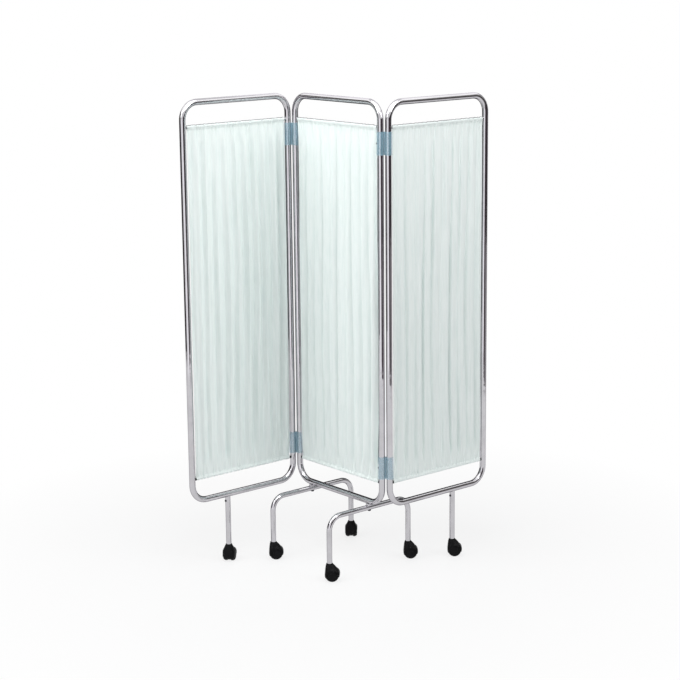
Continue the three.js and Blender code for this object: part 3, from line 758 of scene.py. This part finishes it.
def saddle_block():
    """The block between a foot and the tube above it, hollowed to fit both."""
    bm = bmesh.new()
    bmesh.ops.create_cube(bm, size=1)
    bmesh.ops.subdivide_edges(bm, edges=bm.edges[:], cuts=9, use_grid_fill=True)
    tube_bottom = BOTTOM_TUBE_HEIGHT - FRAME_RADIUS
    for vert in bm.verts:
        x, y = vert.co.x * SADDLE_WIDTH, vert.co.y * SADDLE_LENGTH
        low = FOOT_BAR_HEIGHT + math.sqrt((LEG_RADIUS * 0.98) ** 2 - x * x)
        fit = FRAME_RADIUS + FIT_GAP
        bowl = BOTTOM_TUBE_HEIGHT - math.sqrt(max(fit * fit - y * y, 0))
        high = min(bowl, tube_bottom + SADDLE_RISE)
        share = vert.co.z + 0.5
        vert.co = (x, y, low + (high - low) * share)
    soften(bm, SMALL_EDGE, 2, 50)
    return bm


def round_curve(name, radius, resolution, material):
    """An empty curve that is drawn as a round bar."""
    curve = bpy.data.curves.new(name, "CURVE")
    fill(curve, dimensions="3D", bevel_depth=radius, bevel_resolution=resolution)
    curve.materials.append(MATERIALS[material])
    return curve


def saddle_outline():
    """Points round the saddle's foot, where it stands on the foot's bar."""
    points = []
    for i in range(WELD_POINTS):
        angle = math.tau * i / WELD_POINTS
        x = SADDLE_WIDTH / 2 * max(-1, min(1, WELD_SQUARENESS * math.cos(angle)))
        y = SADDLE_LENGTH / 2 * max(-1, min(1, WELD_SQUARENESS * math.sin(angle)))
        points.append(Vector((x, y, FOOT_BAR_HEIGHT + math.sqrt(LEG_RADIUS**2 - x * x))))
    return points


def weld_bead(name, points, body, place):
    """A cyclic curve of weld metal through points, thicker and thinner as it was laid."""
    curve = round_curve(name, WELD_RADIUS, 3, "chrome_tube")
    spline = curve.splines.new("POLY")
    spline.points.add(len(points) - 1)
    for i, point in enumerate(points):
        spline.points[i].co = (*(place @ point), 1)
        spline.points[i].radius = 0.85 + 0.2 * math.sin(i * 1.9)
    spline.use_cyclic_u = True
    bead = new_object(name, curve)
    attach(bead, body)


def add_feet():
    for name, side in (("left", -1), ("right", 1)):
        half, low, high = FOOT_SPREAD / 2, CASTER_HEIGHT, FOOT_BAR_HEIGHT
        corners = [Vector((0, y, z)) for y, z in ((-half, low), (-half, high), (half, high), (half, low))]
        place = Matrix.Translation((side * FOOT_PITCH / 2, 0, 0))
        tube = bent_tube(corners, FOOT_BEND_RADIUS, LEG_RADIUS, False)
        foot = as_piece(f"{name}_foot_tube", tube, "middle", place, "chrome_tube")
        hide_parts(f"{name}_foot")
        as_piece(f"{name}_foot_saddle", saddle_block(), "middle", place, "chrome_tube")
        weld_bead(f"{name}_foot_saddle_weld", saddle_outline(), "middle", place)
        under = place @ laid((0, 0, FOOT_BAR_HEIGHT - LEG_RADIUS), DOWN)
        add_screw(f"{name}_foot_bolt", FOOT_BOLT_HEAD, "middle", under)


def add_wing_legs():
    for name, screw_side in (("left_wing", 1), ("right_wing", -1)):
        place = PANELS[name].place @ Matrix.Translation((LEG_PLACE, 0, 0))
        ends = [Vector((0, 0, CASTER_HEIGHT)), Vector((0, 0, BOTTOM_TUBE_HEIGHT))]
        tube = bent_tube(ends, 0, LEG_RADIUS, False)
        for vert in tube.verts:
            if vert.co.z > CASTER_HEIGHT + LEG_RADIUS:
                vert.co.z = BOTTOM_TUBE_HEIGHT - math.sqrt((FRAME_RADIUS + FIT_GAP) ** 2 - vert.co.y**2)
        leg = as_piece(f"{name}_leg_tube", tube, name, place, "chrome_tube")
        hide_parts(f"{name}_leg")
        out = laid((screw_side * LEG_RADIUS, 0, LEG_SCREW_HEIGHT), (screw_side, 0, 0))
        add_screw(f"{name}_leg_screw", LEG_SCREW_HEAD, name, place @ out)


def wheel_body():
    """A hard wheel along Z: a crowned tread, a dished outer face, a ring groove and a hub cap."""
    return turned([(WHEEL_RADIUS * reach, WHEEL_WIDTH * share) for reach, share in WHEEL_PROFILE], 48)


def hood_crown():
    """The moulded bell over both wheels, fuller behind, with a round hole for its neck."""
    bm = bmesh.new()
    along, across = 96, 48
    bmesh.ops.create_grid(bm, x_segments=along, y_segments=across, size=0.5)
    first, last = (math.radians(degrees) for degrees in HOOD_LIPS)
    to_sides, behind = HOOD_SLOPES
    for vert in bm.verts:
        angle = first + (last - first) * (vert.co.x + 0.5)
        out = HOOD_HALF_WIDTH * math.sin(vert.co.y * math.pi)
        full = HOOD_RADIUS + HOOD_TAIL_BULGE * max(0, math.cos(angle - HOOD_TAIL_ANGLE)) ** 6
        radius = full * (1 - HOOD_SIDE_DROP * abs(out / HOOD_HALF_WIDTH) ** HOOD_SQUARENESS)
        at = Vector((CASTER_TRAIL + radius * math.cos(angle), out, AXLE_HEIGHT + radius * math.sin(angle)))
        from_stem = at.xy.length
        backward = max(0, at.x / from_stem) ** 2
        slope = to_sides + (behind - to_sides) * backward
        past = from_stem - HOOD_NECK_RADIUS
        bell = min(HOOD_TOP, HOOD_TOP - slope * past - HOOD_CURL * backward * past * past)
        at.z += max(0, bell - at.z) * eased((at.z - HOOD_BELL_FOOT) / HOOD_BELL_BLEND)
        vert.co = at
    free = [vert for vert in bm.verts if not vert.is_boundary]
    for _ in range(HOOD_SMOOTHINGS):
        bmesh.ops.smooth_vert(bm, verts=free, factor=0.5, use_axis_z=True)
    centres = {face: face.calc_center_median() for face in bm.faces}
    hole = [face for face, at in centres.items() if at.xy.length < HOOD_RIM_RADIUS and at.z > AXLE_HEIGHT]
    bmesh.ops.delete(bm, geom=hole, context="FACES")
    for vert in bm.verts:
        if vert.is_boundary and vert.co.z > HOOD_TOP - 0.01:
            vert.co.xy *= HOOD_RIM_RADIUS / vert.co.xy.length
            vert.co.z = HOOD_TOP
    return bm


def hood_neck():
    """The neck of the hood: bored for the stem below, and a thin sleeve round the leg's end above."""
    radius, top = HOOD_NECK_RADIUS, HOOD_NECK_TOP
    bore = radius - HOOD_NECK_WALL
    foot, waist, floor = HOOD_NECK_HEIGHTS
    profile = [
        (STEM_HOLE_RADIUS, foot), (radius, foot), (radius, waist), (radius, top - 0.0007),
        (radius - 0.0003, top - 0.0002), (radius - 0.0009, top), (radius - 0.0015, top - 0.0003),
        (bore, top - 0.0009), (bore, floor + 0.0004), (bore - 0.0006, floor), (STEM_HOLE_RADIUS, floor),
    ]
    return turned([*profile, profile[0]], 48)


def hood_web():
    """The flat wall between the two wheels, from the crown down to the boss round the axle."""
    bm = bmesh.new()
    bmesh.ops.create_circle(bm, cap_ends=True, segments=72, radius=1)
    full = HOOD_RADIUS - HOOD_WALL * 1.5
    for vert in bm.verts:
        angle = math.atan2(vert.co.y, vert.co.x)
        below = eased((-math.sin(angle) - 0.05) / 0.8)
        radius = full + (BOSS_RADIUS - full) * below
        x = CASTER_TRAIL + radius * math.cos(angle)
        vert.co = (x, -WEB_THICKNESS / 2, AXLE_HEIGHT + radius * math.sin(angle))
    thicken(bm, (0, WEB_THICKNESS, 0))
    soften(bm, SMALL_EDGE, 2, 50)
    return bm


def stem_body():
    """The stem in the hood's neck, the collar under the leg's end and the plug inside the leg."""
    stem, collar, plug = STEM_RADIUS, LEG_RADIUS, PLUG_RADIUS
    return turned([
        (0, STEM_FOOT), (stem, STEM_FOOT), (stem, COLLAR_FOOT), (collar - 0.0007, COLLAR_FOOT),
        (collar, COLLAR_FOOT + 0.0004), (collar, COLLAR_TOP - 0.0004), (collar - 0.0005, COLLAR_TOP),
        (plug, COLLAR_TOP), (plug, PLUG_TOP - 0.0015), (plug - 0.001, PLUG_TOP), (0, PLUG_TOP),
    ])


def add_casters():
    for name in ("left_front", "left_rear", "right_front", "right_rear", "left_wing", "right_wing"):
        caster = f"{name}_caster"
        swivel = JOINTS[f"{caster}_swivel_turn"]
        axle = Vector(JOINTS[f"{caster}_wheel_a_spin"]["axis"])
        foot = Vector(swivel["pos_m"]).xy.to_3d()
        turn = Matrix.Rotation(math.atan2(-axle.x, axle.y), 4, "Z")
        place = Matrix.Translation(foot) @ turn
        body = f"{caster}_swivel"
        hood = as_piece(f"{caster}_cover", hood_crown(), body, place, "caster_plastic")
        fill(hood.modifiers.new("wall", "SOLIDIFY"), thickness=HOOD_WALL, offset=-1)
        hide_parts(f"{caster}_hood")
        as_piece(f"{caster}_neck", hood_neck(), body, place, "caster_plastic")
        as_piece(f"{caster}_web", hood_web(), body, place, "caster_plastic")
        wheel_foot = WEB_THICKNESS / 2 + WHEEL_SIDE_GAP
        across = place @ laid((CASTER_TRAIL, 0, AXLE_HEIGHT), (0, 1, 0))
        pin = capped_bar(AXLE_RADIUS, wheel_foot + WHEEL_WIDTH - AXLE_END_DEPTH, BAR_EDGE)
        axle_bar = as_piece(f"{caster}_axle_pin", pin, body, across, "fastener_steel")
        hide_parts(f"{caster}_axle")
        for letter, sign in (("a", 1), ("b", -1)):
            node = f"{caster}_wheel_{letter}"
            out = place @ laid((CASTER_TRAIL, sign * wheel_foot, AXLE_HEIGHT), (0, sign, 0))
            tyre = f"{caster}_tyre_{letter}"
            wheel = as_piece(tyre, wheel_body(), node, out, "caster_plastic", "wheel_plastic")
            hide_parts(node)
        holder = name if name in PANELS else "middle"
        stem = as_piece(f"{caster}_stem_turned", stem_body(), holder, place, "fastener_steel")
        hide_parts(f"{caster}_stem")


# Curtains


def eased(share):
    share = max(0.0, min(1.0, share))
    return share * share * (3 - 2 * share)


def cloth_rows():
    """Places down the cloth from its free edge behind the top rod to the one behind the bottom rod.

    Each is its distance behind the sheet and its height."""
    rows = []
    for i in range(FLAP_ROWS):
        drop = TAIL_DROP * (1 - i / (FLAP_ROWS - 1))
        behind = TAIL_GAP + (POCKET_RADIUS - TAIL_GAP) * eased(1 - drop / STITCH_DROP)
        rows.append((behind, TOP_ROD_HEIGHT - drop))
    for i in range(1, POCKET_ROWS):
        angle = math.pi * i / POCKET_ROWS
        rows.append((POCKET_RADIUS * math.cos(angle), TOP_ROD_HEIGHT + POCKET_RADIUS * math.sin(angle)))
    for i in range(FLAP_ROWS):
        drop = STITCH_DROP * i / (FLAP_ROWS - 1)
        rows.append((-POCKET_RADIUS * eased(1 - drop / STITCH_DROP), TOP_ROD_HEIGHT - drop))
    upper_pocket = list(rows)
    for i in range(1, OPEN_ROWS):
        share = i / OPEN_ROWS
        near = share - math.sin(math.tau * share) / math.tau * ROW_CROWDING
        rows.append((0.0, UPPER_SEAM_HEIGHT + (LOWER_SEAM_HEIGHT - UPPER_SEAM_HEIGHT) * near))
    for behind, height in reversed(upper_pocket):
        rows.append((behind, TOP_ROD_HEIGHT + BOTTOM_ROD_HEIGHT - height))
    return rows


ROWS = cloth_rows()


def cloth_point(panel, across, behind, height, seed):
    """Where the gathered cloth is, at a share across of its width from -1/2 to 1/2."""
    fan = panel.fan
    crest = panel.crest
    length = TOP_ROD_HEIGHT - BOTTOM_ROD_HEIGHT
    up = (height - (TOP_ROD_HEIGHT + BOTTOM_ROD_HEIGHT) / 2) / length
    from_rod = min(abs(TOP_ROD_HEIGHT - height), abs(height - BOTTOM_ROD_HEIGHT))
    opened = eased((from_rod - STITCH_DROP * 0.8) / (GATHER_REACH * 1.1))
    wander = noise.noise(Vector((across * 5.2, up * 2.4, seed)))
    size = 0.85 + 0.65 * noise.noise(Vector((across * 9.0, up * 1.1, seed + 7.3)))
    drift = math.sin(math.tau * (up + fan)) * math.cos(math.pi * (across + fan))
    phase = math.tau * (FOLD_COUNT * across + FOLD_DRIFT * drift + fan + FOLD_WANDER * wander)
    main = math.sin(phase) + crest * CREST_BREADTH * math.cos(2 * phase)
    fold_number = round((phase + crest * math.pi / 2) / math.tau)
    strength = noise.noise(Vector((fold_number * 2.37, seed * 1.3, up * 0.9)))
    valley = (0.5 - 0.5 * crest * math.sin(phase)) ** CREASE_SHARPNESS
    crease = -crest * panel.creased * CREASE_DEPTH * max(0.15, min(1.0, 0.48 + 1.9 * strength)) * valley
    minor_count = FOLD_COUNT * MINOR_FOLD_RATIO
    minor_phase = math.tau * (minor_count * across - FOLD_DRIFT * drift - fan + FOLD_WANDER * wander)
    gathered = 1 - (FLATTER_ABOVE if up > 0 else FLATTER_BELOW) * (abs(up) * 2) ** 4
    depth = FOLD_DEPTH * panel.folded
    wave = FOLD_SHARE * main * size + MINOR_FOLD_SHARE * math.sin(minor_phase)
    fold = gathered * opened * (depth * wave + crease)
    pleat_phase = math.tau * (PLEAT_COUNT * across + 0.9 * noise.noise(Vector((across * 11, seed, up * 3))))
    pleat = math.sin(pleat_phase) + 0.4 * math.sin(pleat_phase * 1.73 + seed)
    below = max(from_rod - STITCH_DROP, 0)
    fine = PLEAT_DEPTH * math.exp(-below / (GATHER_REACH * PLEAT_FADE)) + OPEN_PLEAT_DEPTH
    in_pocket = eased(1 - from_rod / STITCH_DROP)
    fine *= 1 - POCKET_PLEAT_LOSS * in_pocket
    lean = FOLD_LEAN * math.sin(phase + 0.6) * opened * size * math.cos(math.pi * across) ** 0.5
    y = behind * (1 + POCKET_WAVE * pleat * in_pocket) + fold + fine * pleat
    z = height
    if from_rod < POCKET_RADIUS * 1.2 and abs(behind) < POCKET_RADIUS:
        middle = TOP_ROD_HEIGHT if up > 0 else BOTTOM_ROD_HEIGHT
        z += (height - middle) * POCKET_WAVE * pleat
    return Vector((CLOTH_WIDTH * across + lean, y, z))


def add_curtain(name, panel, seed):
    """One gathered sheet as a grid of columns and rows, with its flat size as its map."""
    rows = len(ROWS)
    bm = bmesh.new()
    bmesh.ops.create_grid(bm, x_segments=CLOTH_COLUMNS, y_segments=rows - 1, size=0.5)
    map_layer = bm.loops.layers.uv.new("cloth")
    hem_layer = bm.verts.layers.deform.verify()
    down = [0.0]
    for (behind, height), (next_behind, next_height) in zip(ROWS, ROWS[1:]):
        down.append(down[-1] + math.hypot(next_behind - behind, next_height - height))
    flat = {}
    for vert in bm.verts:
        across = vert.co.x
        row = round((vert.co.y + 0.5) * (rows - 1))
        behind, height = ROWS[row]
        flat[vert] = ((across + 0.5) * CLOTH_FLAT_WIDTH, down[row])
        edge = (0.5 - abs(across)) * CLOTH_FLAT_WIDTH
        vert[hem_layer][0] = 1.0 if edge < SIDE_HEM_WIDTH else 0.0
        vert.co = cloth_point(panel, across, behind * -panel.crest, height, seed)
    for face in bm.faces:
        for corner in face.loops:
            corner[map_layer].uv = flat[corner.vert]
    sheet = as_piece(f"{name}_curtain_cloth", bm, name, panel.place, "curtain_cloth")
    sheet.vertex_groups.new(name="side_hem")
    skin = sheet.modifiers.new("thickness", "SOLIDIFY")
    fill(skin, thickness=CLOTH_THICKNESS * 2, offset=0, vertex_group="side_hem", thickness_vertex_group=0.5)
    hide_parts(f"{name}_curtain")
    stitches = add_stitches(name, panel, seed)
    # A near-black bar along the pocket's top edge, as painted shade.
    edge_shade = add_edge_shade(name, panel, seed)


def seam_lines(panel, seed):
    """The start and end of every stitch along both pockets and both side hems."""
    ends = []
    across_count = int(CLOTH_FLAT_WIDTH / SEAM_PITCH)
    for height in (UPPER_SEAM_HEIGHT, LOWER_SEAM_HEIGHT):
        for i in range(across_count):
            shares = [-0.5 + (i + share) / across_count for share in STITCH_ENDS]
            ends.append([cloth_point(panel, at, 0, height, seed) for at in shares])
    length = UPPER_SEAM_HEIGHT - LOWER_SEAM_HEIGHT
    down_count = int(length / SEAM_PITCH)
    edge = 0.5 - SIDE_HEM_WIDTH / CLOTH_FLAT_WIDTH
    for across in (-edge, edge):
        for i in range(down_count):
            heights = [LOWER_SEAM_HEIGHT + length * (i + share) / down_count for share in STITCH_ENDS]
            ends.append([cloth_point(panel, across, 0, height, seed) for height in heights])
    return ends


def add_stitches(name, panel, seed):
    """The sewing thread, on the side that the crests face, as short lengths that swell in the middle."""
    curve = round_curve(f"{name}_curtain_stitches", THREAD_RADIUS, 0, "pale_thread")
    curve.use_fill_caps = True
    outside = Vector((0, panel.crest * (CLOTH_THICKNESS + THREAD_RADIUS * 0.5), 0))
    for start, end in seam_lines(panel, seed):
        thread = curve.splines.new("POLY")
        thread.points.add(2)
        for point, at, swell in zip(thread.points, (start, (start + end) / 2, end), THREAD_SWELL):
            point.co = (*(panel.place @ (at + outside)), 1)
            point.radius = swell
    stitches = new_object(curve.name, curve)
    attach(stitches, name)
    return stitches


def add_edge_shade(name, panel, seed):
    """A thin near-black bar along the top of the upper pocket: painted shade for the dark line along the
    pocket's top edge.
    """
    bm = bmesh.new()
    centre = cloth_point(panel, -0.5, 0, TOP_ROD_HEIGHT + POCKET_RADIUS, seed)
    ring = ring_at(bm, centre, (1, 0, 0), EDGE_SHADE_RADIUS, 8)
    first_ring = ring
    for i in range(1, EDGE_SHADE_STEPS + 1):
        after = cloth_point(panel, -0.5 + i / EDGE_SHADE_STEPS, 0, TOP_ROD_HEIGHT + POCKET_RADIUS, seed)
        ring = run(bm, ring, after - centre)
        centre = after
    cap(bm, first_ring, ring)
    return as_piece(f"{name}_curtain_edge_shade", bm, name, panel.place, "curtain_cloth", "painted_edge_shade")


def add_curtains():
    for seed, (name, panel) in enumerate(PANELS.items()):
        add_curtain(name, panel, seed * 3.7 + 1.3)


# Studio


def add_camera():
    """The camera of the photograph, with its slight roll and no shift."""
    level = math.cos(VIEW_ELEVATION)
    back = Vector((math.sin(VIEW_AZIMUTH) * level, -math.cos(VIEW_AZIMUTH) * level, math.sin(VIEW_ELEVATION)))
    right = Vector((math.cos(VIEW_AZIMUTH), math.sin(VIEW_AZIMUTH), 0))
    up = back.cross(right)
    target = right * VIEW_ASIDE + Vector((0, 0, VIEW_HEIGHT))
    across = right * math.cos(VIEW_ROLL) - up * math.sin(VIEW_ROLL)
    rise = right * math.sin(VIEW_ROLL) + up * math.cos(VIEW_ROLL)
    camera = new_object("camera", bpy.data.cameras.new("camera"))
    camera.data.lens = LENS_MM
    camera.data.clip_end = VIEW_REACH
    turn = Matrix((across, rise, back)).transposed().to_4x4()
    camera.matrix_world = Matrix.Translation(target + back * VIEW_DISTANCE) @ turn
    bpy.context.scene.camera = camera


def add_lamps():
    for name, (place, target, size, power) in LAMPS.items():
        light = bpy.data.lights.new(name, "AREA")
        fill(light, shape="RECTANGLE", size=size[0], size_y=size[1], energy=power)
        turn = (Vector(place) - Vector(target)).to_track_quat("Z", "Y")
        fill(new_object(name, light), location=place, rotation_mode="QUATERNION", rotation_quaternion=turn)


def seen_rays(tree):
    """1 for the rays that show the backdrop: camera, glossy and transmission."""
    path = add(tree, "ShaderNodeLightPath")
    both = math_node("MAXIMUM", path.outputs["Is Camera Ray"], path.outputs["Is Glossy Ray"])
    return math_node("MAXIMUM", both, path.outputs["Is Transmission Ray"])


def blend_into(factor, first, second, output):
    """Sends a mix of two shaders to their tree's output."""
    tree = factor.id_data
    blend = add(tree, "ShaderNodeMixShader")
    for place, source in enumerate((factor, first.outputs[0], second.outputs[0])):
        link(source, blend.inputs[place])
    link(blend.outputs[0], tree.nodes[output].inputs["Surface"])


def add_floor():
    """A wide white floor that takes shadows near the screen and is plain white further away."""
    material, shader = new_material("studio_floor")
    fill(shader, Base_Color=(0.74, 0.74, 0.745, 1), Roughness=0.9, Specular_IOR_Level=0.1)
    tree = shader.id_data
    away = add(tree, "ShaderNodeVectorMath", operation="LENGTH")
    link(object_coordinates(shader), away.inputs[0])
    far = ramp(away.outputs["Value"], *FLOOR_FADE, FLOOR_NEAR_WHITE, 1.0)
    white = add(tree, "ShaderNodeEmission", Strength=1.0)
    blend_into(math_node("MULTIPLY", far, seen_rays(tree)), shader, white, "Material Output")
    bm = bmesh.new()
    bmesh.ops.create_circle(bm, cap_ends=True, segments=96, radius=FLOOR_RADIUS)
    new_object("floor", new_mesh("floor", bm, material))


def add_world():
    """A white backdrop that gives less light than it shows."""
    world = bpy.data.worlds.new("studio")
    world.use_nodes = True
    bpy.context.scene.world = world
    tree = world.node_tree
    background = fill(tree.nodes["Background"], Color=(1, 1, 1, 1), Strength=WORLD_STRENGTH)
    seen = add(tree, "ShaderNodeBackground", Color=(1, 1, 1, 1), Strength=1)
    blend_into(seen_rays(tree), background, seen, "World Output")


def add_cards():
    """Grey, dark and bright cards that only glossy rays see."""
    for name, (start, end, distance, foot, top, tone) in CARDS.items():
        material, shader = new_material(name)
        power = max(tone)
        glow = (*(channel / power for channel in tone), 1)
        fill(shader, Base_Color=(0, 0, 0, 1), Specular_IOR_Level=0)
        fill(shader, Emission_Color=glow, Emission_Strength=power)
        bm = bmesh.new()
        turn = Matrix.Rotation(VIEW_AZIMUTH + math.radians(start), 4, "Z")
        ends = [bm.verts.new(turn @ Vector((0, -distance, height))) for height in (foot, top)]
        edge = bm.edges.new(ends)
        bmesh.ops.spin(
            bm, geom=[*ends, edge], cent=(0, 0, 0), axis=(0, 0, 1), angle=math.radians(end - start), steps=12
        )
        card = new_object(name, new_mesh(name, bm, material))
        for rays in ("camera", "diffuse", "shadow", "transmission"):
            setattr(card, f"visible_{rays}", False)


def add_studio():
    add_camera()
    add_world()
    add_floor()
    add_cards()
    add_lamps()
    bpy.context.scene.view_settings.view_transform = "Standard"


add_studio()
add_frames()
add_clips()
add_feet()
add_wing_legs()
add_casters()
add_curtains()
